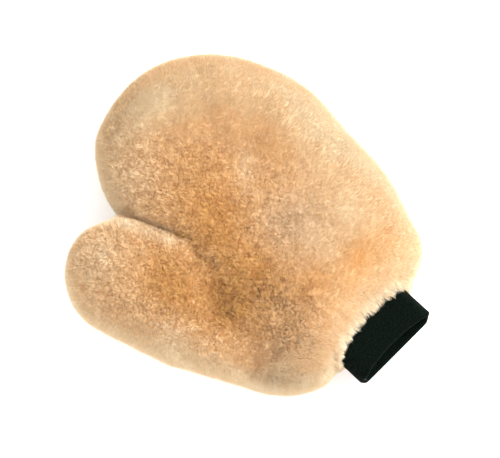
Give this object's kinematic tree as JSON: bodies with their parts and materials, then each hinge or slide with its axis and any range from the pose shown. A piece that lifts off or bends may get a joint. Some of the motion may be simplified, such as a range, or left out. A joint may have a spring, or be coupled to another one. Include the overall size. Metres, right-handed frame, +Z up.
{
  "type": "wash mitt",
  "caption": "Sheepskin wash mitt with a thumb pocket, a pocket for the hand and a knitted elastic cuff at the wrist, for washing paintwork by hand.",
  "frame": {"origin": "middle of the bounding box, on the surface that the mitt lies on", "axes": "+Z up out of the palm side, +Y from the wrist to the fingertips, thumb on the -X side"},
  "size_m": [0.238, 0.28, 0.058],
  "materials": {
    "wool": "dense sheared sheepskin wool, matte, golden tan to pale cream",
    "hide": "suede side of tanned sheepskin",
    "cuff_rib_knit": "near-black ribbed knit, matte",
    "elastic": "woven elastic",
    "thread": "polyester sewing thread"
  },
  "bodies": {
    "palm": {"palm_wool_front": "wool", "palm_wool_back": "wool", "palm_hide_front": "hide", "palm_hide_back": "hide", "palm_seam_thread": "thread"},
    "fingers": {"finger_wool_front": "wool", "finger_wool_back": "wool", "finger_hide_front": "hide", "finger_hide_back": "hide", "finger_seam_thread": "thread"},
    "thumb": {"thumb_wool_front": "wool", "thumb_wool_back": "wool", "thumb_hide_front": "hide", "thumb_hide_back": "hide", "thumb_seam_thread": "thread"},
    "cuff": {"cuff_knit": "cuff_rib_knit", "cuff_elastic": "elastic", "cuff_side_seam": "thread", "wrist_seam_thread": "thread"}
  },
  "joints": [
    {"name": "finger_fold", "type": "hinge", "parent": "palm", "child": "fingers", "pos_m": [0.03, 0.08, 0.027], "axis": [1, 0, 0], "range_deg": [0, 60], "stiffness_Nm_per_rad": 0.02},
    {"name": "thumb_fold", "type": "hinge", "parent": "palm", "child": "thumb", "pos_m": [-0.035, 0.042, 0.027], "axis": [0.9397, 0.342, 0], "range_deg": [0, 50], "stiffness_Nm_per_rad": 0.02},
    {"name": "cuff_bend", "type": "hinge", "parent": "palm", "child": "cuff", "pos_m": [0.019, -0.104, 0.027], "axis": [-1, 0, 0], "range_deg": [-25, 25], "stiffness_Nm_per_rad": 0.03}
  ]
}
